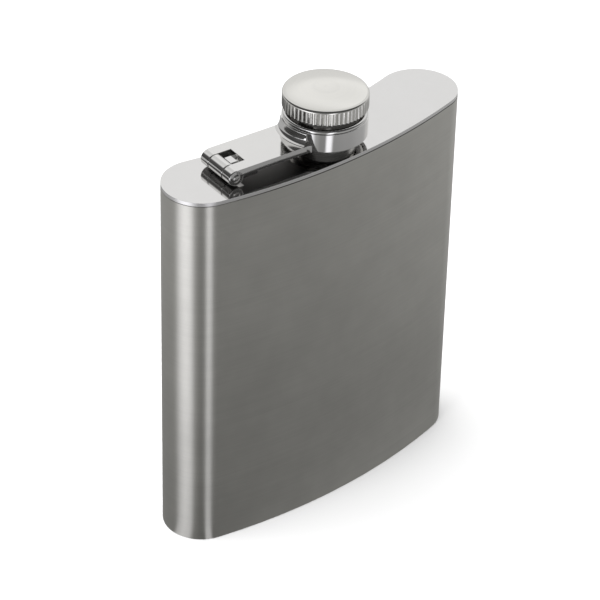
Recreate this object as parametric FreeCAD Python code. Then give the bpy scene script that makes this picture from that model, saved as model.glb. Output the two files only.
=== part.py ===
"""Curved stainless hip flask of about 190 ml with a captive screw cap, in millimetres.

Frame: the origin is on the base, under the axis of the neck. +Z is up, X runs across the wide face, and
the convex face looks towards -Y. The hinge of the cap's arm is on the -X side of the neck.

The body is a slab of constant thickness bent round a vertical axis, with half-round ends. The arm's own
frame is turned about the neck's axis, so that the hinge stands on the middle line of the bent top.
"""

import FreeCAD, Part
import math
import os

Vector = FreeCAD.Vector
UP = Vector(0, 0, 1)
FULL_TURN = 360.0

# Body
body_width = 95.0
body_thickness = 21.0
body_height = 107.0
bend_radius = 160.0          # of the slab's middle surface
shell_wall = 0.5
top_plate_wall = 0.8
bottom_plate_wall = 0.8
top_edge_radius = 0.9
top_skirt = 1.1              # height of the top plate's turned-down edge
base_edge_radius = 0.4
seam_chamfer = 0.12          # each side of the polished weld line

# Neck
neck_bore_radius = 6.4
neck_wall = 0.9              # under the thread
neck_lip_chamfer = 0.25
neck_height = 8.0            # above the top plate
neck_collar_step = 1.1       # beyond the neck's wall
neck_collar_height = 1.6
neck_flange_gap = 0.4        # from the inside of the top pan's edge
neck_flange_wall = 0.7
thread_pitch = 1.5
thread_depth = 0.5
thread_start = 2.3           # above the top plate
thread_turns = 2.75
thread_crest_share = 0.25    # of the pitch, flat on the crest
thread_root_share = 0.8      # of the pitch, at the root
thread_sunk = 0.1            # how far the swept thread is rooted in the wall under it

# Cap sleeve, which turns and slides in the swivel ring
thread_crest_gap = 0.55      # radial, from the neck's crest to the sleeve's bore
sleeve_wall = 1.1
sleeve_bottom = 2.7          # above the top plate
female_thread_depth = 0.4
female_thread_turns = 2.2
female_thread_start = 4.9    # above the top plate
shoulder_set_back = 0.25     # inside the swivel ring's side
shoulder_height = 1.0
shoulder_round = 0.7
hub_set_back = 1.25          # inside the shoulder's flat top
hub_height = 4.2
hub_wall = 1.8
crown_wall = 1.0
seal_thickness = 1.5
seal_compression_gap = 0.05  # the relaxed seal stops this far above the neck's lip
seal_side_gap = 0.1

# Snap ring that keeps the sleeve in the swivel ring
snap_ring_step = 0.7         # beyond the sleeve
snap_ring_height = 0.7
snap_groove_depth = 0.5
snap_ring_above_sleeve_end = 0.5
snap_ring_gap = 3.0          # between its ends
snap_ring_play = 0.05        # all round, in the sleeve's groove

# Knurled cap shell
cap_overhang = 0.25          # beyond the shoulder
cap_shell_wall = 0.8
cap_shell_height = 4.15      # from its lower edge to the rim, before the rim is rounded over
cap_dome_rise = 1.2
cap_rim_round = 0.8          # between the side and the dome
cap_rim_land = 0.65          # from the top of the knurling to the rim
cap_under_chamfer = 0.15
cap_groove = 1.5             # between the shoulder and the knurled shell
knurl_count = 60
knurl_cut_radius = 0.5
knurl_depth = 0.3

# Swivel ring
snap_ring_side_gap = 0.15    # radial, from the snap ring to the swivel ring's bore
ring_wall = 0.9
ring_bottom = 2.9            # above the top plate
ring_height = 5.3
ring_lip_height = 1.0
ring_turning_gap = 0.08      # radial, between the ring's lip and the sleeve
ring_edge_chamfer = 0.3
shoulder_gap = 0.05          # between the ring's top and the cap's shoulder

# Arm and hinge
hinge_distance = 31.7        # from the neck's axis to the pin's axis
pin_height = 2.6             # above the top plate
pin_radius = 0.9
pin_turning_gap = 0.04       # radial, in the bracket's knuckle
pin_head_radius = 1.3
pin_head_height = 0.35
knuckle_radius = 2.2
arm_width = 13.1
arm_thickness = 2.0
arm_edge_radius = 0.45
arm_blend_radius = 2.5       # in plan, where the arm's side runs into the ring
slot_width = 6.2
slot_reach = 4.7             # from the pin's axis towards the cap
arm_blend_share = 0.12       # of the blend's radius, kept beyond the arm's side
saddle_foot_wall = 1.15
saddle_top_wall = 0.35
saddle_top_gap = 0.15        # from the saddle's top to the ring's top
saddle_sunk = 0.6            # how far the saddle is rooted in the plate
bracket_side_gap = 0.12      # each side of the middle knuckle
bracket_foot_length = 9.0
bracket_foot_wall = 0.8
bracket_web_wall = 1.2

# Worked out
neck_root_radius = neck_bore_radius + neck_wall
neck_collar_radius = neck_root_radius + neck_collar_step
sleeve_bore_radius = neck_root_radius + thread_depth + thread_crest_gap
sleeve_radius = sleeve_bore_radius + sleeve_wall
snap_ring_radius = sleeve_radius + snap_ring_step
ring_bore_radius = snap_ring_radius + snap_ring_side_gap
ring_radius = ring_bore_radius + ring_wall
shoulder_radius = ring_radius - shoulder_set_back
hub_radius = shoulder_radius - shoulder_round - hub_set_back
hub_recess_radius = hub_radius - hub_wall
cap_radius = shoulder_radius + cap_overhang
top = body_height
half_thickness = body_thickness / 2
neck_flange_radius = half_thickness - top_plate_wall - neck_flange_gap
end_centre_x = body_width / 2 - half_thickness
bend_centre = Vector(0, bend_radius, 0)
end_angle = math.asin(end_centre_x / bend_radius)
shell_top = top - top_skirt
hinge_angle = math.asin(hinge_distance / 2 / bend_radius)
arm_turn = math.pi - hinge_angle
arm_top = pin_height + knuckle_radius
arm_bottom = arm_top - arm_thickness
ring_top = ring_bottom + ring_height
ring_lip_radius = sleeve_radius + ring_turning_gap
shoulder_bottom = ring_top + shoulder_gap
shoulder_top = shoulder_bottom + shoulder_height
seal_bottom = neck_height + seal_compression_gap
seal_top = seal_bottom + seal_thickness
cap_bottom = shoulder_top + cap_groove
cap_rim = cap_bottom + cap_shell_height


def slab_wire(inset, z):
    """Outline of the bent slab at height z, with its side moved in by inset."""
    reach = half_thickness - inset
    away = Vector(math.sin(end_angle), -math.cos(end_angle), 0)
    along = Vector(math.cos(end_angle), math.sin(end_angle), 0)
    lift = Vector(0, 0, z)
    end_centre = bend_centre + away * bend_radius
    right_front = end_centre + away * reach + lift
    right_tip = end_centre + along * reach + lift
    right_back = end_centre - away * reach + lift
    front = bend_centre + Vector(0, -bend_radius - reach, z)
    back = bend_centre + Vector(0, -bend_radius + reach, z)

    def mirrored(point):
        return Vector(-point.x, point.y, point.z)

    arcs = [
        Part.Arc(mirrored(right_front), front, right_front),
        Part.Arc(right_front, right_tip, right_back),
        Part.Arc(right_back, back, mirrored(right_back)),
        Part.Arc(mirrored(right_back), mirrored(right_tip), mirrored(right_front)),
    ]
    return Part.Wire([arc.toShape() for arc in arcs])


def slab(inset, z_low, z_high):
    """The bent slab, moved in by inset, between two heights."""
    return Part.Face(slab_wire(inset, z_low)).extrude(UP * (z_high - z_low))


def edges_at(shape, z):
    """The edges that lie level at height z."""
    def level(edge):
        return all(abs(v.Z - z) < 1e-6 for v in edge.Vertexes) and edge.BoundBox.ZLength < 1e-6
    return [edge for edge in shape.Edges if level(edge)]


def turned(points, z_base):
    """A solid of revolution about the neck's axis. Points are (radius, height above z_base). A point with
    two more numbers starts an arc to the next point, and they are the arc's middle point."""
    corners = [p for p in points]
    edges = []
    for i, corner in enumerate(corners):
        nxt = corners[(i + 1) % len(corners)]
        start = Vector(corner[0], 0, z_base + corner[1])
        end = Vector(nxt[0], 0, z_base + nxt[1])
        if len(corner) == 4:
            middle = Vector(corner[2], 0, z_base + corner[3])
            edges.append(Part.Arc(start, middle, end).toShape())
        else:
            edges.append(Part.makeLine(start, end))
    return Part.Face(Part.Wire(edges)).revolve(Vector(0, 0, 0), UP, FULL_TURN)


def quarter_middle(centre_r, centre_z, radius, angle):
    """A point on a circle in the profile plane, for the middle of an arc."""
    return centre_r + radius * math.cos(angle), centre_z + radius * math.sin(angle)


def helical_ridge(root_radius, tip_radius, start_z, turns):
    """A thread swept along a helix: root_radius and tip_radius set which way it stands."""
    sunk = thread_sunk if tip_radius > root_radius else -thread_sunk
    root_half = thread_pitch * thread_root_share / 2
    tip_half = thread_pitch * thread_crest_share / 2
    helix = Part.makeHelix(thread_pitch, thread_pitch * turns, root_radius)
    helix.translate(Vector(0, 0, start_z))
    profile = Part.makePolygon([
        Vector(root_radius - sunk, 0, start_z - root_half),
        Vector(tip_radius, 0, start_z - tip_half),
        Vector(tip_radius, 0, start_z + tip_half),
        Vector(root_radius - sunk, 0, start_z + root_half),
        Vector(root_radius - sunk, 0, start_z - root_half),
    ])
    return Part.Wire(helix.Edges).makePipeShell([profile], True, True)


def in_arm_frame(shape):
    """Turns a shape drawn with the arm along +X to where the arm lies."""
    shape.rotate(Vector(0, 0, 0), UP, math.degrees(arm_turn))
    shape.translate(Vector(0, 0, top))
    return shape


def body_shell():
    """The wrapped side wall, open at both ends."""
    outer = slab(0, 0, shell_top)
    outer = outer.makeFillet(base_edge_radius, edges_at(outer, 0))
    outer = outer.makeChamfer(seam_chamfer, edges_at(outer, shell_top))
    return outer.cut(slab(shell_wall, -1, shell_top + 1))


def top_plate():
    """The polished pan that closes the top, with the hole for the neck."""
    outer = slab(0, shell_top, top)
    outer = outer.makeFillet(top_edge_radius, edges_at(outer, top))
    outer = outer.makeChamfer(seam_chamfer, edges_at(outer, shell_top))
    pan = outer.cut(slab(top_plate_wall, shell_top - 1, top - top_plate_wall))
    hole = Part.makeCylinder(neck_root_radius, 3 * top_plate_wall, Vector(0, 0, top - 2 * top_plate_wall))
    return pan.cut(hole)


def bottom_plate():
    """The flat plate welded inside the shell's lower edge."""
    return slab(shell_wall, 0, bottom_plate_wall)


def neck():
    """The threaded spout: a flange under the top plate, a collar on it, and a thread."""
    flange_top = -top_plate_wall
    flange_bottom = flange_top - neck_flange_wall
    tube = turned([
        (neck_bore_radius, flange_bottom),
        (neck_flange_radius, flange_bottom),
        (neck_flange_radius, flange_top),
        (neck_root_radius, flange_top),
        (neck_root_radius, 0),
        (neck_collar_radius, 0),
        (neck_collar_radius, neck_collar_height - neck_lip_chamfer),
        (neck_collar_radius - neck_lip_chamfer, neck_collar_height),
        (neck_root_radius, neck_collar_height),
        (neck_root_radius, neck_height - neck_lip_chamfer),
        (neck_root_radius - neck_lip_chamfer, neck_height),
        (neck_bore_radius + neck_lip_chamfer, neck_height),
        (neck_bore_radius, neck_height - neck_lip_chamfer),
    ], top)
    crest_radius = neck_root_radius + thread_depth
    thread = helical_ridge(neck_root_radius, crest_radius, top + thread_start, thread_turns)
    return tube.fuse(thread)


def hinge_bracket():
    """The foot welded on the top plate, with a web up to the middle knuckle."""
    half = slot_width / 2 - bracket_side_gap
    foot_end = hinge_distance - bracket_foot_length
    web_side = hinge_distance - knuckle_radius
    outline = Part.Wire([
        Part.makeLine(Vector(hinge_distance, -half, 0), Vector(foot_end, -half, 0)),
        Part.makeLine(Vector(foot_end, -half, 0), Vector(foot_end, -half, bracket_foot_wall)),
        Part.makeLine(
            Vector(foot_end, -half, bracket_foot_wall),
            Vector(web_side - bracket_web_wall, -half, bracket_foot_wall),
        ),
        Part.makeLine(
            Vector(web_side - bracket_web_wall, -half, bracket_foot_wall),
            Vector(web_side, -half, pin_height),
        ),
        Part.Arc(
            Vector(web_side, -half, pin_height),
            Vector(hinge_distance, -half, arm_top),
            Vector(hinge_distance + knuckle_radius, -half, pin_height),
        ).toShape(),
        Part.Arc(
            Vector(hinge_distance + knuckle_radius, -half, pin_height),
            Vector(
                hinge_distance + knuckle_radius * math.sin(math.pi / 4), -half,
                pin_height - knuckle_radius * math.cos(math.pi / 4),
            ),
            Vector(hinge_distance, -half, pin_height - knuckle_radius),
        ).toShape(),
        Part.makeLine(
            Vector(hinge_distance, -half, pin_height - knuckle_radius), Vector(hinge_distance, -half, 0)
        ),
    ])
    block = Part.Face(outline).extrude(Vector(0, 2 * half, 0))
    bore = Part.makeCylinder(
        pin_radius + pin_turning_gap, arm_width, Vector(hinge_distance, -arm_width / 2, pin_height),
        Vector(0, 1, 0),
    )
    return in_arm_frame(block.cut(bore))


def hinge_pin():
    """The pin, with a low peened head at each end of the arm's knuckles."""
    axis = Vector(0, 1, 0)
    low_end = Vector(hinge_distance, -arm_width / 2, pin_height)
    shaft = Part.makeCylinder(pin_radius, arm_width, low_end, axis)
    near_head = Part.makeCone(
        pin_head_radius, pin_radius, pin_head_height, low_end, axis * -1
    )
    far_head = Part.makeCone(
        pin_head_radius, pin_radius, pin_head_height, low_end + axis * arm_width, axis
    )
    return in_arm_frame(shaft.fuse(near_head).fuse(far_head))


def arm_plan():
    """The arm in plan: a strip that runs into a disc the size of the ring through two round blends."""
    half = arm_width / 2
    grown = ring_radius + arm_blend_radius
    blend_y = half + arm_blend_radius
    blend_x = math.sqrt(grown ** 2 - blend_y ** 2)
    centre = Vector(blend_x, blend_y, 0)
    on_ring = centre * (ring_radius / grown)
    bisector = (Vector(0, -1, 0) - centre * (1 / grown)).normalize()
    blend_middle = centre + bisector * arm_blend_radius
    strip_start = Vector(blend_x, half, 0)
    strip_end = Vector(hinge_distance + 2 * knuckle_radius, half, 0)

    def flipped(point):
        return Vector(point.x, -point.y, point.z)

    return Part.Face(Part.Wire([
        Part.makeLine(strip_end, strip_start),
        Part.Arc(strip_start, blend_middle, on_ring).toShape(),
        Part.Arc(on_ring, Vector(-ring_radius, 0, 0), flipped(on_ring)).toShape(),
        Part.Arc(flipped(on_ring), flipped(blend_middle), flipped(strip_start)).toShape(),
        Part.makeLine(flipped(strip_start), flipped(strip_end)),
        Part.makeLine(flipped(strip_end), strip_end),
    ]))


def knuckle_roll():
    """The end of the arm from the side: a plate that rolls round the pin, tangent at its top."""
    side = -arm_width / 2
    start = hinge_distance - 2 * knuckle_radius
    under = hinge_distance - math.sqrt(knuckle_radius ** 2 - (arm_bottom - pin_height) ** 2)
    low = Vector(hinge_distance, side, pin_height - knuckle_radius)
    low_middle_x = hinge_distance - knuckle_radius * math.sin(math.pi / 4)
    low_middle_z = pin_height - knuckle_radius * math.cos(math.pi / 4)
    end_face = Part.Face(Part.Wire([
        Part.makeLine(Vector(start, side, arm_top), Vector(hinge_distance, side, arm_top)),
        Part.Arc(
            Vector(hinge_distance, side, arm_top),
            Vector(hinge_distance + knuckle_radius, side, pin_height),
            low,
        ).toShape(),
        Part.Arc(low, Vector(low_middle_x, side, low_middle_z), Vector(under, side, arm_bottom)).toShape(),
        Part.makeLine(Vector(under, side, arm_bottom), Vector(start, side, arm_bottom)),
        Part.makeLine(Vector(start, side, arm_bottom), Vector(start, side, arm_top)),
    ]))
    return end_face.extrude(Vector(0, arm_width, 0))


def saddle():
    """The sloped band that hugs the ring on the arm's side."""
    base_z = arm_top - saddle_sunk
    height = ring_top - saddle_top_gap - base_z
    foot_radius = ring_radius + saddle_foot_wall
    band = Part.makeCone(foot_radius, ring_radius + saddle_top_wall, height, Vector(0, 0, base_z))
    width = arm_width - 2 * arm_edge_radius
    keep = Part.makeBox(2 * ring_radius, width, 2 * height, Vector(0, -width / 2, base_z))
    return band.common(keep)


def cap_arm():
    """The arm: a plate with two outer knuckles, and the saddle that the swivel ring is brazed into."""
    half = arm_width / 2
    plate = arm_plan().extrude(UP * arm_thickness)
    plate.translate(Vector(0, 0, arm_bottom))
    rim = [edge for edge in edges_at(plate, arm_top) if edge.BoundBox.XMin < hinge_distance]
    plate = plate.makeFillet(arm_edge_radius, rim)
    plate_end = Part.makeBox(
        4 * knuckle_radius, 2 * arm_width, 2 * arm_thickness,
        Vector(hinge_distance - knuckle_radius, -arm_width, arm_bottom - arm_thickness / 2),
    )
    plate = plate.cut(plate_end).fuse(knuckle_roll())
    tip_y = half + arm_blend_share * arm_blend_radius
    for side in (-1, 1):
        tip = Part.makeBox(2 * ring_radius, ring_radius, 2 * arm_top, Vector(0, tip_y, 0))
        if side < 0:
            tip = tip.mirror(Vector(0, 0, 0), Vector(0, 1, 0))
        plate = plate.cut(tip)
    plate = plate.fuse(saddle())
    slot = Part.makeBox(
        slot_reach + 2 * knuckle_radius, slot_width, 4 * knuckle_radius,
        Vector(hinge_distance - slot_reach, -slot_width / 2, pin_height - 2 * knuckle_radius),
    )
    pin_hole = Part.makeCylinder(
        pin_radius, 2 * arm_width, Vector(hinge_distance, -arm_width, pin_height), Vector(0, 1, 0)
    )
    ring_seat = Part.makeCylinder(ring_radius, 2 * ring_top, Vector(0, 0, 0))
    reach = 2 * ring_radius
    behind_ring = Part.makeBox(reach, 2 * reach, 2 * ring_top, Vector(-reach, -reach, 0))
    return in_arm_frame(plate.cut([slot, pin_hole, ring_seat, behind_ring]).removeSplitter())


def swivel_ring():
    """The band that the cap turns in. Its inner lip holds the sleeve's snap ring down."""
    lip_bottom = ring_top - ring_lip_height
    return turned([
        (ring_bore_radius, ring_bottom),
        (ring_radius - ring_edge_chamfer, ring_bottom),
        (ring_radius, ring_bottom + ring_edge_chamfer),
        (ring_radius, ring_top - seam_chamfer),
        (ring_radius - seam_chamfer, ring_top),
        (ring_lip_radius, ring_top),
        (ring_lip_radius, lip_bottom),
        (ring_bore_radius, lip_bottom),
    ], top)


def cap_sleeve():
    """The threaded core of the cap: barrel, rounded shoulder, hub and crown."""
    groove_bottom = sleeve_bottom + snap_ring_above_sleeve_end
    groove_top = groove_bottom + snap_ring_height + 2 * snap_ring_play
    hub_top = shoulder_top + hub_height
    crown_top = seal_top + crown_wall
    round_r = shoulder_radius - shoulder_round
    round_z = shoulder_top - shoulder_round
    middle_r, middle_z = quarter_middle(round_r, round_z, shoulder_round, math.pi / 4)
    core = turned([
        (sleeve_bore_radius, sleeve_bottom),
        (sleeve_radius, sleeve_bottom),
        (sleeve_radius, groove_bottom),
        (sleeve_radius - snap_groove_depth, groove_bottom),
        (sleeve_radius - snap_groove_depth, groove_top),
        (sleeve_radius, groove_top),
        (sleeve_radius, shoulder_bottom),
        (shoulder_radius, shoulder_bottom),
        (shoulder_radius, round_z, middle_r, middle_z),
        (round_r, shoulder_top),
        (hub_radius, shoulder_top),
        (hub_radius, hub_top),
        (hub_recess_radius, hub_top),
        (hub_recess_radius, crown_top),
        (0, crown_top),
        (0, seal_top),
        (sleeve_bore_radius, seal_top),
    ], top)
    grooves = helical_ridge(
        sleeve_bore_radius, sleeve_bore_radius + female_thread_depth, top + female_thread_start,
        female_thread_turns,
    )
    return core.cut(grooves)


def seal_disc():
    """The soft washer in the top of the sleeve, that seals on the neck's lip."""
    radius = sleeve_bore_radius - seal_side_gap
    return Part.makeCylinder(radius, seal_thickness, Vector(0, 0, top + seal_bottom))


def snap_ring():
    """A split ring in the sleeve's groove."""
    inner = sleeve_radius - snap_groove_depth + snap_ring_play
    low = top + sleeve_bottom + snap_ring_above_sleeve_end + snap_ring_play
    ring = Part.makeCylinder(snap_ring_radius, snap_ring_height, Vector(0, 0, low))
    ring = ring.cut(Part.makeCylinder(inner, snap_ring_height, Vector(0, 0, low)))
    gap = Part.makeBox(
        2 * snap_ring_radius, snap_ring_gap, 2 * snap_ring_height,
        Vector(0, -snap_ring_gap / 2, low - snap_ring_height / 2),
    )
    return ring.cut(gap)


def cap_shell():
    """The knurled shell that is pressed over the sleeve's hub."""
    crown = cap_rim + cap_dome_rise
    dome_radius = (cap_radius ** 2 + cap_dome_rise ** 2) / (2 * cap_dome_rise)
    dome_centre = crown - dome_radius

    def on_dome(radius, depth):
        return dome_centre + math.sqrt((dome_radius - depth) ** 2 - radius ** 2)

    round_r = cap_radius - cap_rim_round
    round_z = on_dome(round_r, cap_rim_round)
    round_end = math.atan2(round_z - dome_centre, round_r)
    middle_r, middle_z = quarter_middle(round_r, round_z, cap_rim_round, round_end / 2)
    end_r, end_z = quarter_middle(round_r, round_z, cap_rim_round, round_end)
    blank = turned([
        (hub_radius, cap_bottom),
        (cap_radius - cap_under_chamfer, cap_bottom),
        (cap_radius, cap_bottom + cap_under_chamfer),
        (cap_radius, round_z, middle_r, middle_z),
        (end_r, end_z, end_r / 2, on_dome(end_r / 2, 0)),
        (0, crown),
        (0, crown - cap_shell_wall, hub_radius / 2, on_dome(hub_radius / 2, cap_shell_wall)),
        (hub_radius, on_dome(hub_radius, cap_shell_wall)),
    ], top)
    cutters = []
    for i in range(knurl_count):
        angle = 2 * math.pi * i / knurl_count
        distance = cap_radius + knurl_cut_radius - knurl_depth
        foot = Vector(distance * math.cos(angle), distance * math.sin(angle), top + cap_bottom - 1)
        cutters.append(Part.makeCylinder(knurl_cut_radius, cap_shell_height + 1 - cap_rim_land, foot))
    return blank.cut(cutters)


nodes = {
    "body_shell": body_shell,
    "top_plate": top_plate,
    "bottom_plate": bottom_plate,
    "neck": neck,
    "hinge_bracket": hinge_bracket,
    "hinge_pin": hinge_pin,
    "cap_arm": cap_arm,
    "swivel_ring": swivel_ring,
    "cap_sleeve": cap_sleeve,
    "snap_ring": snap_ring,
    "seal_disc": seal_disc,
    "cap_shell": cap_shell,
}

os.makedirs("parts", exist_ok=True)
for name, make in nodes.items():
    shape = make()
    print(f"{name}: {len(shape.Solids)} solid, valid {shape.isValid()}, {shape.Volume:.1f} mm3")
    shape.exportStep(f"parts/{name}.step")
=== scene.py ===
"""Pocket flask of stainless steel, built piece by piece in the order in which it is put together."""

import bmesh
import bpy
import math
from mathutils import Matrix, Vector


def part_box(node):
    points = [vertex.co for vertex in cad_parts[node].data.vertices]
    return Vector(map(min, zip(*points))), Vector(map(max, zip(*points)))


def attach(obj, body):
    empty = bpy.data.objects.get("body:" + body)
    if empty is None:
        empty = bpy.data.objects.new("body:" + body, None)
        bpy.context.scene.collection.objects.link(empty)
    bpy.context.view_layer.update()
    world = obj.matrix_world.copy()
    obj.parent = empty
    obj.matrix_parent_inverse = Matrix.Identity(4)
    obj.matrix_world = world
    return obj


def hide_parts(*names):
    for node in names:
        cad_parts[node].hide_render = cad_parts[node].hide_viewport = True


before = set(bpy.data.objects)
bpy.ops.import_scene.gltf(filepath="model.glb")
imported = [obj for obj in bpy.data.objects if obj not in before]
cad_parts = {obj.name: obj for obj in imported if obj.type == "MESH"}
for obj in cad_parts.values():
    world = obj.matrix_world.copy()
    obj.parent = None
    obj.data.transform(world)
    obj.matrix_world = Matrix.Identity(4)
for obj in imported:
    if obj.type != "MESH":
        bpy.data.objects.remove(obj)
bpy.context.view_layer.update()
mm = 0.001


# Side wall. One stainless sheet is wrapped round the bent section and welded in a seam that is
# ground away. It is then brushed level all round, which leaves fine horizontal lines.
wall_low, wall_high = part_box("body_shell")
half_thickness = 10.5 * mm
bend_radius = 160 * mm
sheet = 0.5 * mm
foot_round = 0.4 * mm
seam_bevel = 0.12 * mm
end_angle = math.asin((wall_high.x - half_thickness) / bend_radius)


def corners_of(geometry):
    """The corners among the parts that an operator made."""
    return [part for part in geometry if isinstance(part, bmesh.types.BMVert)]


def last_corner(swept):
    """The end of a sweep that began from one corner."""
    return corners_of(swept["geom_last"])[0]


def joined(bm, corners):
    """Joins corners in a row, one edge to the next."""
    return [bm.edges.new((a, b)) for a, b in zip(corners, corners[1:])]


def slab_outline(bm, inset, height):
    """Sweeps the closed, level outline of the bent slab and returns its edges."""
    old = set(bm.edges)
    bend = Vector((0, bend_radius, height))
    right = bend + bend_radius * Vector((math.sin(end_angle), -math.cos(end_angle), 0))
    left = Vector((-right.x, right.y, height))
    start = tip = bm.verts.new((0, inset - half_thickness, height))
    sweeps = (
        (bend, end_angle, 28),
        (right, math.pi, 48),
        (bend, -2 * end_angle, 56),
        (left, math.pi, 48),
        (bend, end_angle, 28),
    )
    for centre, angle, steps in sweeps:
        swept = bmesh.ops.spin(bm, geom=[tip], cent=centre, axis=(0, 0, 1), angle=angle, steps=steps)
        tip = last_corner(swept)
    bmesh.ops.remove_doubles(bm, verts=[start, tip], dist=1e-6)
    return [edge for edge in bm.edges if edge not in old]


def raised(bm, edges, height):
    """Draws a loop of edges straight up and returns the loop at the top."""
    made = bmesh.ops.extrude_edge_only(bm, edges=edges)["geom"]
    corners = corners_of(made)
    bmesh.ops.translate(bm, verts=corners, vec=(0, 0, height))
    return [e for e in made if isinstance(e, bmesh.types.BMEdge) and all(v in corners for v in e.verts)]


def softened(bm, edges, size, segments):
    """Rounds a set of edges."""
    bmesh.ops.bevel(
        bm, geom=edges, offset=size, segments=segments, profile=0.5, affect="EDGES",
        clamp_overlap=True, material=-1,
    )


def fitted(bm, name, node, body, material, sharp=50):
    """Turns a finished mesh into the piece that stands for a node and rides on its body."""
    bmesh.ops.remove_doubles(bm, verts=bm.verts, dist=1e-7)
    bmesh.ops.recalc_face_normals(bm, faces=bm.faces)
    mesh = bpy.data.meshes.new(name)
    bm.to_mesh(mesh)
    bm.free()
    mesh.shade_smooth()
    mesh.set_sharp_from_angle(angle=math.radians(sharp))
    mesh.materials.append(material)
    piece = bpy.data.objects.new(name, mesh)
    bpy.context.scene.collection.objects.link(piece)
    even = piece.modifiers.new("flats stay flat", "WEIGHTED_NORMAL")
    even.keep_sharp = True
    even.weight = 100
    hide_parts(node)
    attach(piece, body)
    return piece


def calculated(tree, operation, first, second):
    """One step of arithmetic on two sockets or numbers."""
    step = tree.nodes.new("ShaderNodeMath")
    step.operation = operation
    for socket, value in zip(step.inputs, (first, second)):
        if isinstance(value, (int, float)):
            socket.default_value = value
        else:
            tree.links.new(value, socket)
    return step.outputs[0]


drift_share = 0.16           # of the fine lines' fineness


def brush_marks():
    """Node group: fine lines left by a belt or a lathe, from a stretched position."""
    group = bpy.data.node_groups.new("brush_marks", "ShaderNodeTree")
    group.interface.new_socket(name="Position", in_out="INPUT", socket_type="NodeSocketVector")
    group.interface.new_socket(name="Fineness", in_out="INPUT", socket_type="NodeSocketFloat")
    group.interface.new_socket(name="Lines", in_out="OUTPUT", socket_type="NodeSocketFloat")
    group.interface.new_socket(name="Drift", in_out="OUTPUT", socket_type="NodeSocketFloat")
    came_in = group.nodes.new("NodeGroupInput")
    goes_out = group.nodes.new("NodeGroupOutput")
    fine = group.nodes.new("ShaderNodeTexNoise")
    fine.inputs["Detail"].default_value = 3.0
    fine.inputs["Roughness"].default_value = 0.7
    group.links.new(came_in.outputs["Position"], fine.inputs["Vector"])
    group.links.new(came_in.outputs["Fineness"], fine.inputs["Scale"])
    wider = calculated(group, "MULTIPLY", came_in.outputs["Fineness"], drift_share)
    slow = group.nodes.new("ShaderNodeTexNoise")
    slow.inputs["Detail"].default_value = 2.0
    group.links.new(came_in.outputs["Position"], slow.inputs["Vector"])
    group.links.new(wider, slow.inputs["Scale"])
    group.links.new(fine.outputs["Fac"], goes_out.inputs["Lines"])
    group.links.new(slow.outputs["Fac"], goes_out.inputs["Drift"])
    return group


marks = brush_marks()


def placed(tree, kind, **values):
    """Adds a node and sets the inputs that are named."""
    node = tree.nodes.new(kind)
    for name, value in values.items():
        node.inputs[name.replace("_", " ")].default_value = value
    return node


def spread(tree, source, low, high, to, from_low=0.3, from_high=0.7):
    """Carries a mask, spread between two values, to a socket."""
    band = tree.nodes.new("ShaderNodeMapRange")
    band.inputs["From Min"].default_value = from_low
    band.inputs["From Max"].default_value = from_high
    band.inputs["To Min"].default_value = low
    band.inputs["To Max"].default_value = high
    tree.links.new(source, band.inputs["Value"])
    tree.links.new(band.outputs["Result"], to)


def spun_place(tree, place):
    """The distance from the neck's axis and the height, for marks that run round it."""
    flat = tree.nodes.new("ShaderNodeVectorMath")
    flat.operation = "MULTIPLY"
    flat.inputs[1].default_value = (1, 1, 0)
    out = tree.nodes.new("ShaderNodeVectorMath")
    out.operation = "LENGTH"
    height = tree.nodes.new("ShaderNodeSeparateXYZ")
    both = tree.nodes.new("ShaderNodeCombineXYZ")
    tree.links.new(place, flat.inputs[0])
    tree.links.new(flat.outputs["Vector"], out.inputs[0])
    tree.links.new(place, height.inputs["Vector"])
    tree.links.new(out.outputs["Value"], both.inputs["X"])
    tree.links.new(height.outputs["Z"], both.inputs["Z"])
    return both.outputs["Vector"]


def multiplied(tree, tone):
    """Multiplies a colour. Returns the socket of the factor and the socket of the result."""
    mix = tree.nodes.new("ShaderNodeMix")
    mix.data_type = "RGBA"
    mix.blend_type = "MULTIPLY"
    mix.inputs["Factor"].default_value = 1.0
    tree.links.new(tone, mix.inputs["A"])
    return mix.inputs["B"], mix.outputs["Result"]


down_from, down_to = -0.75, -0.25    # the upward share of the normal, for faces that look down
cloud_fineness = 45.0                # clouds left by handling, about 20 mm wide
# Painted shade: a thin dark line where the top pan meets the side wall stands in for the shade in a narrow
# groove there.
seam_shade_colour = (0.05, 0.048, 0.045, 1)
seam_core, seam_edge = 0.10 * mm, 0.17 * mm    # half widths: full dark, and clear
seam_shade_fade = 0.9                    # how far the painted seam shade fades out at the hinge's end
fade_from, fade_to = -36 * mm, -22 * mm


def painted_seam_shade(tree, place, tone, height):
    """Paints shade along a thin dark line at one height, where a narrow groove at the joint would be
    shaded. It fades out towards the hinge's end.
    """
    spot = tree.nodes.new("ShaderNodeSeparateXYZ")
    tree.links.new(place, spot.inputs["Vector"])
    off = calculated(tree, "ABSOLUTE", calculated(tree, "SUBTRACT", spot.outputs["Z"], height), 0.0)
    clean = tree.nodes.new("ShaderNodeMath")
    clean.operation = "MAXIMUM"
    spread(tree, off, 0.0, 1.0, clean.inputs[0], seam_core, seam_edge)
    spread(tree, spot.outputs["X"], seam_shade_fade, 0.0, clean.inputs[1], fade_from, fade_to)
    line = tree.nodes.new("ShaderNodeMix")
    line.data_type = "RGBA"
    line.inputs["A"].default_value = seam_shade_colour
    tree.links.new(clean.outputs[0], line.inputs["Factor"])
    tree.links.new(tone, line.inputs["B"])
    return line.outputs["Result"]


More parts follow.
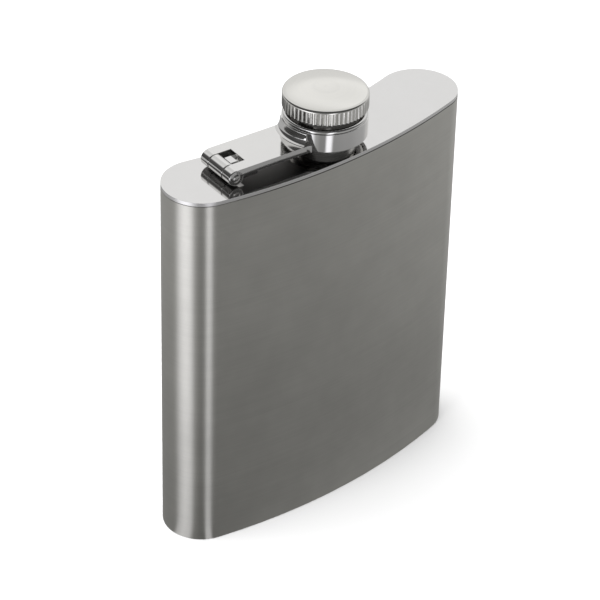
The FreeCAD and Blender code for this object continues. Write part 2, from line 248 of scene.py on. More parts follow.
def steel(
    name, colour, roughness, stretch=(1, 1, 1), fineness=900.0, uneven=0.03, tint=0.06,
    depth=0.0, spun=False, clouds=0.0, seam=None, painted_shade_below=1.0, rough_below=None,
):
    """A bare steel finish: metal whose roughness and tone follow the marks of the tool that made it, with
    painted shade on faces that look down and, if a seam height is given, a painted line of shade there.
    """
    material = bpy.data.materials.new(name)
    material.use_nodes = True
    tree = material.node_tree
    metal = tree.nodes["Principled BSDF"]
    metal.inputs["Metallic"].default_value = 1.0
    where = tree.nodes.new("ShaderNodeTexCoord")
    along = placed(tree, "ShaderNodeMapping", Scale=stretch)
    place = spun_place(tree, where.outputs["Object"]) if spun else where.outputs["Object"]
    tree.links.new(place, along.inputs["Vector"])
    lines = tree.nodes.new("ShaderNodeGroup")
    lines.node_tree = marks
    lines.inputs["Fineness"].default_value = fineness
    tree.links.new(along.outputs["Vector"], lines.inputs["Position"])

    tones = tree.nodes.new("ShaderNodeMix")
    tones.data_type = "RGBA"
    tones.inputs["A"].default_value = (*[c * (1 - tint) for c in colour], 1)
    tones.inputs["B"].default_value = (*[min(1, c * (1 + tint)) for c in colour], 1)
    both = calculated(tree, "ADD", lines.outputs["Lines"], lines.outputs["Drift"])
    spread(tree, calculated(tree, "MULTIPLY", both, 0.5), 0.0, 1.0, tones.inputs["Factor"])
    tone = tones.outputs["Result"]
    if clouds:
        broad = tree.nodes.new("ShaderNodeGroup")
        broad.node_tree = marks
        broad.inputs["Fineness"].default_value = cloud_fineness
        tree.links.new(where.outputs["Object"], broad.inputs["Position"])
        factor, tone = multiplied(tree, tone)
        spread(tree, broad.outputs["Lines"], 1 - clouds, 1 + clouds, factor)
    # Painted shade: faces that look down have their colour darkened, as if shaded by the parts above them.
    facing = tree.nodes.new("ShaderNodeSeparateXYZ")
    tree.links.new(where.outputs["Normal"], facing.inputs["Vector"])
    factor, tone = multiplied(tree, tone)
    spread(tree, facing.outputs["Z"], painted_shade_below, 1.0, factor, down_from, down_to)
    if seam:
        tone = painted_seam_shade(tree, where.outputs["Object"], tone, seam)
    tree.links.new(tone, metal.inputs["Base Color"])

    rough = metal.inputs["Roughness"]
    if rough_below:
        coarse, rough_from, smooth_from = rough_below
        sides = tree.nodes.new("ShaderNodeMix")
        sides.inputs["B"].default_value = coarse
        spread(tree, facing.outputs["Z"], 1.0, 0.0, sides.inputs["Factor"], rough_from, smooth_from)
        tree.links.new(sides.outputs["Result"], rough)
        rough = sides.inputs["A"]
    spread(tree, lines.outputs["Lines"], roughness - uneven, roughness + uneven, rough)
    if depth:
        relief = placed(tree, "ShaderNodeBump", Strength=0.35, Distance=depth)
        tree.links.new(lines.outputs["Lines"], relief.inputs["Height"])
        tree.links.new(relief.outputs["Normal"], metal.inputs["Normal"])
    return material


# The brushed finish paints that line of shade at the top of the wall.
brushed = steel(
    "brushed_steel", (0.59, 0.582, 0.545), 0.34, stretch=(0.05, 0.05, 6.0), fineness=1900.0,
    uneven=0.05, tint=0.045, depth=0.006 * mm, clouds=0.06, seam=wall_high.z,
)
brushed_metal = brushed.node_tree.nodes["Principled BSDF"]
brushed_metal.inputs["Anisotropic"].default_value = 0.75
brushed_metal.inputs["Anisotropic Rotation"].default_value = 0.25

bm = bmesh.new()
outer_foot = slab_outline(bm, 0, wall_low.z)
inner_foot = slab_outline(bm, sheet, wall_low.z)
outer_top = raised(bm, outer_foot, wall_high.z - wall_low.z)
inner_top = raised(bm, inner_foot, wall_high.z - wall_low.z)
bmesh.ops.bridge_loops(bm, edges=outer_foot + inner_foot)
bmesh.ops.bridge_loops(bm, edges=outer_top + inner_top)
softened(bm, outer_foot, foot_round, 3)
softened(bm, outer_top, seam_bevel, 2)
fitted(bm, "side_wall", "body_shell", "flask", brushed)


# Base. A flat plate is dropped inside the lower edge of the side wall, welded and brushed.
base_low, base_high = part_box("bottom_plate")
plate_round = 0.08 * mm
bm = bmesh.new()
rim = slab_outline(bm, sheet, base_low.z)
lid = raised(bm, rim, base_high.z - base_low.z)
bmesh.ops.contextual_create(bm, geom=rim)
bmesh.ops.contextual_create(bm, geom=lid)
softened(bm, rim, plate_round, 1)
fitted(bm, "base_plate", "bottom_plate", "flask", brushed)


# Top pan. A pressed plate with its edge turned down is butt welded on the side wall. The weld is
# ground flush and the whole top is polished to a mirror, edge and all.
pan_low, pan_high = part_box("top_plate")
top = pan_high.z
pan_wall = 0.8 * mm
edge_round = 0.9 * mm
neck_outside = 7.3 * mm
# Painted shade: both polished finishes darken the faces that look down.
polished = steel(
    "polished_steel", (0.74, 0.733, 0.72), 0.075, fineness=260.0, uneven=0.02, tint=0.015,
    painted_shade_below=0.30, rough_below=(0.45, down_from, down_to),
)
# The pan's finish paints the same line of shade at its lower edge.
pan_polish = steel(
    "polished_pan", (0.74, 0.733, 0.725), 0.075, fineness=260.0, uneven=0.02, tint=0.015,
    seam=wall_high.z, painted_shade_below=0.28, rough_below=(0.34, 0.50, 0.93),
)

bm = bmesh.new()
skirt = slab_outline(bm, 0, pan_low.z)
crown = raised(bm, skirt, top - pan_low.z)
inner_skirt = slab_outline(bm, pan_wall, pan_low.z)
ceiling = raised(bm, inner_skirt, top - pan_wall - pan_low.z)
bmesh.ops.bridge_loops(bm, edges=skirt + inner_skirt)
hole = bmesh.ops.create_circle(bm, segments=64, radius=neck_outside, cap_ends=False)["verts"]
bmesh.ops.translate(bm, verts=hole, vec=(0, 0, top - pan_wall))
hole_foot = list({edge for corner in hole for edge in corner.link_edges})
hole_top = raised(bm, hole_foot, pan_wall)
bmesh.ops.triangle_fill(bm, use_beauty=True, use_dissolve=False, edges=crown + hole_top)
bmesh.ops.triangle_fill(bm, use_beauty=True, use_dissolve=False, edges=ceiling + hole_foot)
softened(bm, crown, edge_round, 5)
softened(bm, [e for e in bm.edges if e in set(skirt)], seam_bevel, 2)
fitted(bm, "top_pan", "top_plate", "flask", pan_polish)


# Neck. It is turned from bar: a flange welded under the top pan, a low collar on it, and a
# screwed tube. Only the collar shows while the cap is on.
neck_low, neck_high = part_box("neck")
bore = 6.4 * mm
collar = 8.4 * mm
flange = 9.3 * mm
collar_top = top + 1.6 * mm
neck_round = 0.25 * mm
thread_pitch = 1.5 * mm
thread_depth = 0.5 * mm
thread_sunk = 0.1 * mm
thread_start = top + 2.3 * mm
thread_turns = 2.75
root_half, crest_half = 0.4, 0.125    # of the pitch
turned_steel = steel(
    "turned_steel", (0.50, 0.495, 0.48), 0.24, stretch=(4, 1, 4), fineness=1500.0,
    uneven=0.05, tint=0.05, spun=True,
)


def lathe(bm, outline, steps=128):
    """Turns a closed outline of (radius, height) corners about the neck's axis."""
    corners = [bm.verts.new((radius, 0, height)) for radius, height in outline]
    rounds = joined(bm, corners + corners[:1])
    bmesh.ops.spin(
        bm, geom=corners + rounds, cent=(0, 0, 0), axis=(0, 0, 1), angle=2 * math.pi, steps=steps,
        use_merge=True,
    )
    bmesh.ops.remove_doubles(bm, verts=bm.verts, dist=1e-7)


def ring_edges(bm, radius, height):
    """The edges that run round the axis at this radius and height."""
    def on_ring(corner):
        return abs(corner.co.xy.length - radius) < 1e-5 and abs(corner.co.z - height) < 1e-5
    return [edge for edge in bm.edges if all(on_ring(corner) for corner in edge.verts)]


def screw_ridge(bm, root, crest, start, turns, pitch, steps_a_turn=64):
    """Sweeps a thread's ridge up a helix."""
    shape = ((root, -root_half), (crest, -crest_half), (crest, crest_half), (root, root_half))
    section = [bm.verts.new((radius, 0, start + share * pitch)) for radius, share in shape]
    face = bmesh.ops.contextual_create(bm, geom=section)["faces"][0]
    steps = int(turns * steps_a_turn)
    bmesh.ops.spin(
        bm, geom=[face], cent=(0, 0, 0), axis=(0, 0, 1), dvec=(0, 0, pitch * turns / steps),
        angle=2 * math.pi * turns, steps=steps,
    )


bm = bmesh.new()
lathe(bm, [
    (bore, neck_low.z), (flange, neck_low.z), (flange, top - pan_wall), (neck_outside, top - pan_wall),
    (neck_outside, top), (collar, top), (collar, collar_top), (neck_outside, collar_top),
    (neck_outside, neck_high.z), (bore, neck_high.z),
])
lips = ring_edges(bm, collar, collar_top)
lips += ring_edges(bm, neck_outside, neck_high.z) + ring_edges(bm, bore, neck_high.z)
softened(bm, lips, neck_round, 3)
screw_ridge(
    bm, neck_outside - thread_sunk, neck_outside + thread_depth, thread_start, thread_turns, thread_pitch,
)
fitted(bm, "screwed_neck", "neck", "flask", turned_steel)


# Hinge bracket. A thin foot is welded on the top pan, and a web climbs from it to the middle
# knuckle. It is polished with the arm.
pivot = 31.7 * mm
pin_height = 2.6 * mm
knuckle = 2.2 * mm
slot_width = 6.2 * mm
slot_reach = 4.7 * mm
arm_width = 13.1 * mm
slot_gap = 0.12 * mm
bracket_half = slot_width / 2 - slot_gap
cheek_round = 0.22 * mm
foot_reach = 9.0 * mm
foot_wall = 0.8 * mm
web_wall = 1.2 * mm
arm_turn = math.pi - math.asin(pivot / 2 / bend_radius)
arm_place = Matrix.Translation((0, 0, top)) @ Matrix.Rotation(arm_turn, 4, "Z")

bm = bmesh.new()
chain = [
    bm.verts.new((x, -bracket_half, z))
    for x, z in (
        (pivot - knuckle, pin_height), (pivot - knuckle - web_wall, foot_wall),
        (pivot - foot_reach, foot_wall), (pivot - foot_reach, 0), (pivot, 0), (pivot, pin_height - knuckle),
    )
]
joined(bm, chain)
bmesh.ops.spin(
    bm, geom=[chain[-1]], cent=(pivot, 0, pin_height), axis=(0, 1, 0), angle=-1.5 * math.pi, steps=48,
)
bmesh.ops.remove_doubles(bm, verts=bm.verts, dist=1e-6)
side = bmesh.ops.contextual_create(bm, geom=bm.edges[:])["faces"]
block = bmesh.ops.extrude_face_region(bm, geom=side)["geom"]
bmesh.ops.translate(bm, verts=corners_of(block), vec=(0, 2 * bracket_half, 0))
cheeks = [e for e in bm.edges if len({round(v.co.y, 6) for v in e.verts}) == 1]
softened(bm, cheeks, cheek_round, 3)
bm.transform(arm_place)
fitted(bm, "hinge_bracket_foot", "hinge_bracket", "flask", polished, 35)


# Hinge pin. Plain wire, pushed through the three knuckles and peened to a low dome at each end.
pin = 0.9 * mm
half_arm = arm_width / 2
peened = ((0, 0.34 * mm), (0.62 * pin, 0.3 * mm), (1.12 * pin, 0.16 * mm), (1.3 * pin, 0))
low_end = [(radius, -half_arm - rise) for radius, rise in peened]
high_end = [(radius, half_arm + rise) for radius, rise in reversed(peened)]
bm = bmesh.new()
lathe(bm, low_end + [(pin, -half_arm), (pin, half_arm)] + high_end, 32)
bm.transform(Matrix.Translation((pivot, 0, pin_height)) @ Matrix.Rotation(-math.pi / 2, 4, "X"))
bm.transform(arm_place)
fitted(bm, "peened_pin", "hinge_pin", "arm", turned_steel)


# Arm. A flat strip, cast with two knuckles at its hinge end and a sloping saddle at the other,
# which is brazed to the swivel ring. Its corners are rounded over and it is mirror polished.
ring_low, ring_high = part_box("swivel_ring")
ring_radius = 11.2 * mm
arm_wall = 2.0 * mm
arm_top = pin_height + knuckle
arm_bottom = arm_top - arm_wall
arm_round = 0.45 * mm
slot_round = 0.16 * mm
underside_round = 0.2 * mm
knuckle_round = 0.32 * mm
blend_radius = 2.5 * mm
blend_kept = 0.12            # of the blend's radius, before it meets the ring
blend_y = half_arm + blend_radius
blend_x = math.sqrt((ring_radius + blend_radius) ** 2 - blend_y ** 2)
tip_y = half_arm + blend_kept * blend_radius
tip_turn = math.acos(1 - blend_kept)
tip_on_ring = Vector((math.sqrt(ring_radius ** 2 - tip_y ** 2), tip_y, arm_top))
ring_span = 2 * math.atan2(tip_y, tip_on_ring.x)

bm = bmesh.new()
tongue_inside = slot_width / 2
right_turn = [
    bm.verts.new((x, y, arm_top))
    for x, y in (
        (pivot - slot_reach, -tongue_inside), (pivot - slot_reach, tongue_inside), (pivot, tongue_inside),
        (pivot, half_arm), (blend_x, half_arm),
    )
]
joined(bm, right_turn)
near = last_corner(bmesh.ops.spin(
    bm, geom=[right_turn[-1]], cent=(blend_x, blend_y, arm_top), axis=(0, 0, 1), angle=-tip_turn, steps=6,
))
start_on_ring = bm.verts.new(tip_on_ring)
bm.edges.new((near, start_on_ring))
far_on_ring = last_corner(bmesh.ops.spin(
    bm, geom=[start_on_ring], cent=(0, 0, arm_top), axis=(0, 0, 1), angle=-ring_span, steps=24,
))
far = bm.verts.new((near.co.x, -near.co.y, arm_top))
bm.edges.new((far_on_ring, far))
far_side = last_corner(bmesh.ops.spin(
    bm, geom=[far], cent=(blend_x, -blend_y, arm_top), axis=(0, 0, 1), angle=-tip_turn, steps=6,
))
left_turn = [far_side] + [
    bm.verts.new((x, y, arm_top))
    for x, y in ((pivot, -half_arm), (pivot, -tongue_inside))
]
joined(bm, left_turn + right_turn[:1])
bmesh.ops.remove_doubles(bm, verts=bm.verts, dist=1e-7)
plan = bmesh.ops.contextual_create(bm, geom=bm.edges[:])["faces"]
plate = bmesh.ops.extrude_face_region(bm, geom=plan)["geom"]
bmesh.ops.translate(bm, verts=corners_of(plate), vec=(0, 0, arm_bottom - arm_top))


ring_margin = 0.2 * mm
hair = 1e-6


def on_outline(edge, height, inside):
    """True for the plate's edges at this height, away from the ring, on the slot or off it."""
    if any(abs(v.co.z - height) > hair for v in edge.verts):
        return False
    if any(v.co.xy.length < ring_radius + ring_margin for v in edge.verts):
        return False
    if all(v.co.x > pivot - hair for v in edge.verts):
        return False
    return all(abs(v.co.y) < tongue_inside + hair for v in edge.verts) == inside


softened(bm, [e for e in bm.edges if on_outline(e, arm_top, False)], arm_round, 4)
softened(bm, [e for e in bm.edges if on_outline(e, arm_top, True)], slot_round, 2)
softened(bm, [e for e in bm.edges if on_outline(e, arm_bottom, False)], underside_round, 2)
for inside, outside in ((tongue_inside, half_arm), (-half_arm, -tongue_inside)):
    made = bmesh.ops.create_cone(
        bm, cap_ends=True, segments=64, radius1=knuckle, radius2=knuckle, depth=outside - inside,
    )["verts"]
    bmesh.ops.rotate(bm, verts=made, cent=(0, 0, 0), matrix=Matrix.Rotation(math.pi / 2, 3, "X"))
    bmesh.ops.translate(bm, verts=made, vec=(pivot, (inside + outside) / 2, pin_height))
    ends = {e for v in made for e in v.link_edges if abs(e.verts[0].co.y - e.verts[1].co.y) < 1e-7}
    softened(bm, list(ends), knuckle_round, 3)

saddle_steps = 12
saddle_foot_reach = 1.5 * mm
saddle_head_reach = 0.34 * mm
saddle_tip_reach = 0.24 * mm
saddle_sunk = 0.02 * mm
saddle_top = ring_high.z - top - 0.15 * mm
foot_r = ring_radius + saddle_foot_reach
foot_z = arm_top + 0.19 * mm
foot_edge_r = foot_r + 0.12 * mm
foot_edge_z = arm_top + 0.1 * mm
root_z = arm_top - 0.5 * mm
head_r = ring_radius + saddle_head_reach
head_z = saddle_top - 0.12 * mm
root_r = ring_radius - saddle_sunk
hollow = [0.5 * math.pi * step / saddle_steps for step in range(saddle_steps + 1)]
saddle = [
    bm.verts.new((radius, 0, height))
    for radius, height in (
        (root_r, root_z), (foot_edge_r, root_z), (foot_edge_r, foot_edge_z),
        *(
            (foot_r - (foot_r - head_r) * math.sin(t), head_z - (head_z - foot_z) * math.cos(t))
            for t in hollow
        ),
        (ring_radius + saddle_tip_reach, saddle_top), (root_r, saddle_top),
    )
]
saddle_edges = joined(bm, saddle + saddle[:1])
saddle_middle = ring_radius + 1.0 * mm
saddle_half = math.asin((half_arm - arm_round) / saddle_middle)
bmesh.ops.rotate(bm, verts=saddle, cent=(0, 0, 0), matrix=Matrix.Rotation(-saddle_half, 3, "Z"))
saddle_face = bmesh.ops.contextual_create(bm, geom=saddle_edges)["faces"]
bmesh.ops.spin(
    bm, geom=saddle_face, cent=(0, 0, 0), axis=(0, 0, 1), angle=2 * saddle_half, steps=32,
)
bm.transform(arm_place)
fitted(bm, "cap_arm_strip", "cap_arm", "arm", polished, 40)


# Swivel ring. A turned band, brazed in the arm's saddle, that the cap turns in. A lip inside its
# top keeps the cap's snap ring down. Polished with the arm.
ring_bore = 10.3 * mm
lip_radius = 9.53 * mm
lip_wall = 1.0 * mm
lip_bottom = ring_high.z - lip_wall
ring_foot_round = 0.3 * mm
ring_top_round = 0.12 * mm
bm = bmesh.new()
lathe(bm, [
    (ring_bore, ring_low.z), (ring_radius, ring_low.z), (ring_radius, ring_high.z),
    (lip_radius, ring_high.z), (lip_radius, lip_bottom), (ring_bore, lip_bottom),
])
softened(bm, ring_edges(bm, ring_radius, ring_low.z), ring_foot_round, 3)
softened(bm, ring_edges(bm, ring_radius, ring_high.z), ring_top_round, 2)
fitted(bm, "swivel_band", "swivel_ring", "arm", polished)


# Cap sleeve. The screwed core of the cap, turned from bar: a barrel in the swivel ring, a rounded
# shoulder on it, and a hub above for the knurled shell.
core_low, core_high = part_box("cap_sleeve")
core_bore = 8.35 * mm
core_radius = 9.45 * mm
snap_floor = 8.95 * mm
snap_low = core_low.z + 0.5 * mm
snap_high = snap_low + 0.8 * mm
shoulder = 10.95 * mm
shoulder_low = ring_high.z + 0.05 * mm
shoulder_high = shoulder_low + 1.0 * mm
shoulder_round = 0.7 * mm
hub = 9.0 * mm
hub_hollow = 7.2 * mm
seal_low, seal_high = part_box("seal_disc")
crown_high = seal_high.z + 1.0 * mm
inner_root = core_bore + 0.05 * mm
inner_crest = core_bore - 0.25 * mm
inner_start = core_low.z + 2.2 * mm
inner_turns = 2.2
bm = bmesh.new()
lathe(bm, [
    (core_bore, core_low.z), (core_radius, core_low.z), (core_radius, snap_low), (snap_floor, snap_low),
    (snap_floor, snap_high), (core_radius, snap_high),
    (core_radius, shoulder_low), (shoulder, shoulder_low),
    (shoulder, shoulder_high), (hub, shoulder_high), (hub, core_high.z), (hub_hollow, core_high.z),
    (hub_hollow, crown_high), (0, crown_high), (0, seal_high.z), (core_bore, seal_high.z),
])
softened(bm, ring_edges(bm, shoulder, shoulder_high), shoulder_round, 6)
screw_ridge(bm, inner_root, inner_crest, inner_start, inner_turns, thread_pitch)
fitted(bm, "cap_core", "cap_sleeve", "cap", polished)


# Snap ring. A split ring of spring wire, sprung into the sleeve's groove under the band's lip.
snap_bottom, snap_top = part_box("snap_ring")
snap_inside = 9.0 * mm
snap_outside = 10.15 * mm
split = 0.15                 # radians, half of the gap between its ends
bm = bmesh.new()
section = [
    bm.verts.new((radius, 0, height))
    for radius, height in (
        (snap_inside, snap_bottom.z), (snap_outside, snap_bottom.z),
        (snap_outside, snap_top.z), (snap_inside, snap_top.z),
    )
]
bmesh.ops.rotate(bm, verts=section, cent=(0, 0, 0), matrix=Matrix.Rotation(split, 3, "Z"))
cut_face = bmesh.ops.contextual_create(bm, geom=section)["faces"]
bmesh.ops.spin(
    bm, geom=cut_face, cent=(0, 0, 0), axis=(0, 0, 1), angle=2 * math.pi - 2 * split, steps=90,
)
fitted(bm, "sprung_ring", "snap_ring", "cap_lift", turned_steel)


# Seal. A soft, pale disc pushed into the top of the sleeve. The neck's lip leaves a ring in it.
seal_material = bpy.data.materials.new("pale_seal")
seal_material.use_nodes = True
seal_tree = seal_material.node_tree
rubber = seal_tree.nodes["Principled BSDF"]
rubber.inputs["Specular IOR Level"].default_value = 0.35
seal_where = seal_tree.nodes.new("ShaderNodeTexCoord")
cloud = placed(seal_tree, "ShaderNodeTexNoise", Scale=700.0, Detail=4.0)
seal_tree.links.new(seal_where.outputs["Object"], cloud.inputs["Vector"])
seal_tone = seal_tree.nodes.new("ShaderNodeMix")
seal_tone.data_type = "RGBA"
seal_tone.inputs["A"].default_value = (0.70, 0.69, 0.65, 1)
seal_tone.inputs["B"].default_value = (0.80, 0.79, 0.76, 1)
spread(seal_tree, cloud.outputs["Fac"], 0, 1, seal_tone.inputs["Factor"])
seal_tree.links.new(seal_tone.outputs["Result"], rubber.inputs["Base Color"])
spread(seal_tree, cloud.outputs["Fac"], 0.5, 0.62, rubber.inputs["Roughness"])
seal_gap = 0.1 * mm
seal_radius = core_bore - seal_gap
seal_round = 0.15 * mm
print_slope = 0.1 * mm
inside_print = seal_low.z + 0.05 * mm
print_floor = seal_low.z + 0.15 * mm
bm = bmesh.new()
lathe(bm, [
    (0, inside_print), (bore, inside_print), (bore + print_slope, print_floor),
    (neck_outside - print_slope, print_floor), (neck_outside, seal_low.z), (seal_radius, seal_low.z),
    (seal_radius, seal_high.z), (0, seal_high.z),
], 96)
softened(bm, ring_edges(bm, seal_radius, seal_low.z), seal_round, 2)
fitted(bm, "soft_seal", "seal_disc", "cap", seal_material)


# Knurled shell. A turned cap pressed on the hub: straight knurling round its side, a plain rim
# rounded over above it, and a low dome that is spun smooth and left a little satin.
shell_low, shell_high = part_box("cap_shell")
cap_radius = 11.2 * mm
dome_rise = 1.2 * mm
cap_rim = shell_high.z - dome_rise
teeth = 60
flute = 0.5 * mm
flute_depth = 0.3 * mm
flute_out = cap_radius + flute - flute_depth
flute_turn = math.acos((flute_out ** 2 + flute ** 2 - cap_radius ** 2) / (2 * flute_out * flute))
land = 2 * math.pi / teeth - 2 * math.asin(flute * math.sin(flute_turn) / cap_radius)
rim_land = 0.65 * mm
foot_chamfer = 0.12 * mm
foot_share = 0.988           # of the knurling's radius, at the shell's lower face
knurl_high = cap_rim - rim_land
knurl_low = shell_low.z + foot_chamfer

# Painted shade: the shell's faces that look down are darkened.
satin = steel(
    "satin_spun_steel", (0.78, 0.77, 0.735), 0.13, stretch=(3, 1, 1), fineness=500.0,
    uneven=0.04, tint=0.035, spun=True, painted_shade_below=0.2,
)

bm = bmesh.new()
flute_edge = Vector((flute_out - flute * math.cos(flute_turn), -flute * math.sin(flute_turn), knurl_low))
first = bm.verts.new(flute_edge)
second = last_corner(bmesh.ops.spin(
    bm, geom=[first], cent=(flute_out, 0, knurl_low), axis=(0, 0, 1), angle=-2 * flute_turn, steps=6,
))
bmesh.ops.spin(bm, geom=[second], cent=(0, 0, knurl_low), axis=(0, 0, 1), angle=land, steps=2)
bmesh.ops.spin(
    bm, geom=bm.verts[:] + bm.edges[:], cent=(0, 0, knurl_low), axis=(0, 0, 1), angle=2 * math.pi,
    steps=teeth, use_duplicate=True,
)
bmesh.ops.remove_doubles(bm, verts=bm.verts, dist=5e-6)
knurl_foot = bm.edges[:]
knurl_top = raised(bm, knurl_foot, knurl_high - knurl_low)
turned_in = bmesh.ops.extrude_edge_only(bm, edges=knurl_foot)["geom"]
foot_corners = corners_of(turned_in)
bmesh.ops.scale(bm, verts=foot_corners, vec=(foot_share, foot_share, 1))
bmesh.ops.translate(bm, verts=foot_corners, vec=(0, 0, shell_low.z - knurl_low))
foot_loop = [
    e for e in turned_in if isinstance(e, bmesh.types.BMEdge) and all(v in foot_corners for v in e.verts)
]
bmesh.ops.contextual_create(bm, geom=foot_loop)
bmesh.ops.contextual_create(bm, geom=knurl_top)
dome_radius = (cap_radius ** 2 + dome_rise ** 2) / (2 * dome_rise)
dome_centre = shell_high.z - dome_radius
rim_round = 0.8 * mm
rim_x = cap_radius - rim_round
rim_z = dome_centre + math.sqrt((dome_radius - rim_round) ** 2 - rim_x ** 2)
rim_lean = math.atan2(rim_x, rim_z - dome_centre)
neck_in = 0.04 * mm
lid_in = 0.34 * mm
lid_height = knurl_high - 0.02 * mm
old_corners = set(bm.verts)
old_edges = set(bm.edges)
crown_point = bm.verts.new((0, 0, shell_high.z))
dome_edge = last_corner(bmesh.ops.spin(
    bm, geom=[crown_point], cent=(0, 0, dome_centre), axis=(0, 1, 0), angle=rim_lean, steps=24,
))
side_top = last_corner(bmesh.ops.spin(
    bm, geom=[dome_edge], cent=(rim_x, 0, rim_z), axis=(0, 1, 0), angle=math.pi / 2 - rim_lean, steps=10,
))
path = [side_top] + [
    bm.verts.new((radius, 0, height))
    for radius, height in (
        (cap_radius - neck_in, knurl_high), (cap_radius - lid_in, lid_height), (0, lid_height),
    )
]
joined(bm, path)
bmesh.ops.spin(
    bm, geom=[v for v in bm.verts if v not in old_corners] + [e for e in bm.edges if e not in old_edges],
    cent=(0, 0, 0), axis=(0, 0, 1), angle=2 * math.pi, steps=144, use_merge=True,
)
fitted(bm, "knurled_cap", "cap_shell", "cap", satin, 32)


# Floor. A sheet of white paper under the flask, clear when seen from below. In the steel it is not lit
# paper but a glow: a dim table with painted bright zones that fan out from the hinge's end, painted
# reflections of lamps that are not there. They give that end its upright bands.
floor_width = 6.0
floor_drop = 0.02 * mm
bpy.ops.mesh.primitive_plane_add(size=floor_width, location=(0, 0, -floor_drop))
floor = bpy.context.object
floor.name = "studio_floor"
paper = bpy.data.materials.new("white_paper")
paper.use_nodes = True
paper_tree = paper.node_tree
paper_tree.nodes.remove(paper_tree.nodes["Principled BSDF"])
paper_out = paper_tree.nodes["Material Output"]
matt = placed(paper_tree, "ShaderNodeBsdfDiffuse", Color=(0.93, 0.93, 0.93, 1))
# For mirrored rays the paper glows instead of being lit: painted reflections.
mirrored_glow = paper_tree.nodes.new("ShaderNodeEmission")
ray = paper_tree.nodes.new("ShaderNodeLightPath")
pick_paper = paper_tree.nodes.new("ShaderNodeMixShader")
paper_tree.links.new(ray.outputs["Is Glossy Ray"], pick_paper.inputs["Fac"])
paper_tree.links.new(matt.outputs[0], pick_paper.inputs[1])
paper_tree.links.new(mirrored_glow.outputs[0], pick_paper.inputs[2])
from_below = paper_tree.nodes.new("ShaderNodeNewGeometry")
clear = paper_tree.nodes.new("ShaderNodeBsdfTransparent")
one_sided = paper_tree.nodes.new("ShaderNodeMixShader")
paper_tree.links.new(from_below.outputs["Backfacing"], one_sided.inputs["Fac"])
paper_tree.links.new(pick_paper.outputs[0], one_sided.inputs[1])
paper_tree.links.new(clear.outputs[0], one_sided.inputs[2])
paper_tree.links.new(one_sided.outputs[0], paper_out.inputs["Surface"])

# Bearings are measured about the centre of the hinge's end, and 0 looks back at the viewer. Close
# to the end they are stretched, because the steel there mirrors the paper from its own edge.
end_centre = bend_radius * Vector((-math.sin(end_angle), 1 - math.cos(end_angle), 0))
fan_turn = math.radians(131.66)
fan_stretch = 1.35
on_table = paper_tree.nodes.new("ShaderNodeTexCoord")
from_end = placed(
    paper_tree, "ShaderNodeVectorRotate", Center=end_centre, Axis=(0, 0, 1), Angle=fan_turn,
)
paper_tree.links.new(on_table.outputs["Object"], from_end.inputs["Vector"])
offset = paper_tree.nodes.new("ShaderNodeVectorMath")
offset.operation = "SUBTRACT"
offset.inputs[1].default_value = end_centre
paper_tree.links.new(from_end.outputs["Vector"], offset.inputs[0])
parts = paper_tree.nodes.new("ShaderNodeSeparateXYZ")
paper_tree.links.new(offset.outputs["Vector"], parts.inputs["Vector"])
end_distance = paper_tree.nodes.new("ShaderNodeVectorMath")
end_distance.operation = "LENGTH"
paper_tree.links.new(offset.outputs["Vector"], end_distance.inputs[0])
bearing = calculated(paper_tree, "ARCTAN2", parts.outputs["Y"], parts.outputs["X"])
reach = calculated(paper_tree, "MAXIMUM", end_distance.outputs["Value"], half_thickness)
closeness = calculated(paper_tree, "DIVIDE", fan_stretch * half_thickness, reach)
half_bearing = calculated(paper_tree, "MULTIPLY", bearing, 0.5)
sideways = calculated(paper_tree, "SINE", half_bearing, 0.0)
stretched = calculated(paper_tree, "MULTIPLY", closeness, sideways)
turned_away = calculated(paper_tree, "ADD", bearing, stretched)


def set_ramp(node, steps):
    """Gives a colour ramp soft steps of (position, colour)."""
    ramp = node.color_ramp
    ramp.interpolation = "EASE"
    while len(ramp.elements) < len(steps):
        ramp.elements.new(0.5)
    for element, (position, colour) in zip(ramp.elements, steps):
        element.position = position
    for element, (position, colour) in zip(ramp.elements, steps):
        element.color = (*colour, 1)


def grey(level):
    """A neutral colour, a little cooler where it stands for a lamp."""
    cool = 0.02 if level > 0.5 else 0.0
    return level * (1 - cool), level * (1 - cool), level * (1 + cool)


half_turn = 180
zones = (
    (-180, 0.27), (-138, 0.29), (-78, 0.30), (-60, 0.92), (-48, 1.12), (-33, 1.02), (-14, 0.27),
    (0, 0.19), (11, 0.19), (19, 0.92), (27, 0.90), (36, 0.22), (72, 0.24), (117, 0.29),
    (132, 0.33), (154, 0.31), (177, 0.18), (180, 0.18),
)
patches = paper_tree.nodes.new("ShaderNodeValToRGB")
set_ramp(patches, [((degrees + half_turn) / (2 * half_turn), grey(level)) for degrees, level in zones])
spread(paper_tree, turned_away, 0.0, 1.0, patches.inputs["Fac"], -math.pi, math.pi)
paper_tree.links.new(patches.outputs["Color"], mirrored_glow.inputs["Color"])
# Painted shadow: near the flask the mirrored glow is dimmer, brighter further away.
near_light, far_light = 0.86, 1.68
near_reach, far_reach = 60 * mm, 260 * mm
away = paper_tree.nodes.new("ShaderNodeVectorMath")
away.operation = "LENGTH"
paper_tree.links.new(on_table.outputs["Object"], away.inputs[0])
spread(
    paper_tree, away.outputs["Value"], near_light, far_light, mirrored_glow.inputs["Strength"],
    near_reach, far_reach,
)
floor.data.materials.append(paper)


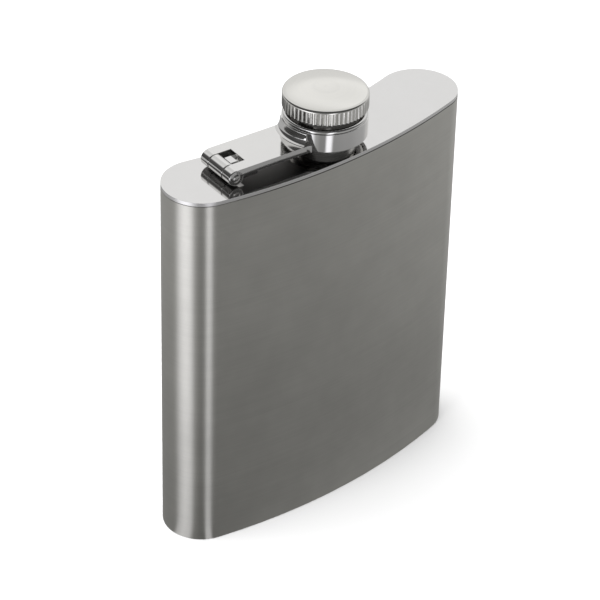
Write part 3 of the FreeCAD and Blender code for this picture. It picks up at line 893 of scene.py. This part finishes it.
# Studio. A white room. In the steel it is dark on the viewer's side and bright above, beyond the
# cap. Two soft lights, above and on the left, shade the paper and aren't mirrored.
world = bpy.data.worlds.new("white_room")
bpy.context.scene.world = world
world.use_nodes = True
room = world.node_tree
for node in list(room.nodes):
    room.nodes.remove(node)
room_out = room.nodes.new("ShaderNodeOutputWorld")
plain = placed(room, "ShaderNodeBackground", Color=(1, 1, 1, 1), Strength=1.06)
mirrored = room.nodes.new("ShaderNodeBackground")
pick_room = room.nodes.new("ShaderNodeMixShader")
room_ray = room.nodes.new("ShaderNodeLightPath")
room.links.new(room_ray.outputs["Is Glossy Ray"], pick_room.inputs["Fac"])
room.links.new(plain.outputs[0], pick_room.inputs[1])
room.links.new(mirrored.outputs[0], pick_room.inputs[2])
room.links.new(pick_room.outputs[0], room_out.inputs["Surface"])
bright_side = (0.60, 0.55, 0.58)
direction = room.nodes.new("ShaderNodeTexCoord")
facing_lamp = room.nodes.new("ShaderNodeVectorMath")
facing_lamp.operation = "DOT_PRODUCT"
facing_lamp.inputs[1].default_value = bright_side
room.links.new(direction.outputs["Generated"], facing_lamp.inputs[0])
sky = (
    (0.0, 0.14), (0.55, 0.06), (0.70, 0.09), (0.80, 0.86), (0.93, 0.76), (0.972, 0.80), (0.988, 1.0),
    (1.0, 0.93),
)
shade = room.nodes.new("ShaderNodeValToRGB")
set_ramp(shade, [(step, (level, level, level)) for step, level in sky])
spread(room, facing_lamp.outputs["Value"], 0.0, 1.0, shade.inputs["Fac"], -1.0, 1.0)
room.links.new(shade.outputs["Color"], mirrored.inputs["Color"])


def soft_light(name, place, aim, width, height, watts):
    """A rectangular light that looks at a point."""
    data = bpy.data.lights.new(name, "AREA")
    data.shape = "RECTANGLE"
    data.size = width
    data.size_y = height
    data.energy = watts
    lamp = bpy.data.objects.new(name, data)
    lamp.location = place
    lamp.visible_glossy = False
    lamp.rotation_euler = (Vector(aim) - Vector(place)).to_track_quat("-Z", "Y").to_euler()
    bpy.context.scene.collection.objects.link(lamp)


middle = (0, 0, 0.05)
soft_light("top_light", (-0.35, 0.25, 0.9), middle, 0.9, 0.9, 5.0)
soft_light("left_light", (-0.55, -0.05, 0.45), middle, 0.35, 0.35, 1.5)


# Camera. A long lens, above and to the left of the flask's convex face.
bpy.context.scene.view_settings.view_transform = "Standard"
lens = bpy.data.cameras.new("viewpoint")
lens.sensor_width = 36
lens.lens = 172.471
turn = math.radians(-41.661)
rise = math.radians(34.299)
roll = math.radians(1.467)
eye = mm * Vector((-425.132, -469.998, 489.396))
back = Vector((math.sin(turn) * math.cos(rise), -math.cos(turn) * math.cos(rise), math.sin(rise)))
across = Vector((0, 0, 1)).cross(back).normalized()
upward = back.cross(across)
level_view = Matrix((across, upward, back)).transposed().to_4x4()
viewpoint = bpy.data.objects.new("viewpoint", lens)
viewpoint.matrix_world = Matrix.Translation(eye) @ level_view @ Matrix.Rotation(roll, 4, "Z")
bpy.context.scene.collection.objects.link(viewpoint)
bpy.context.scene.camera = viewpoint
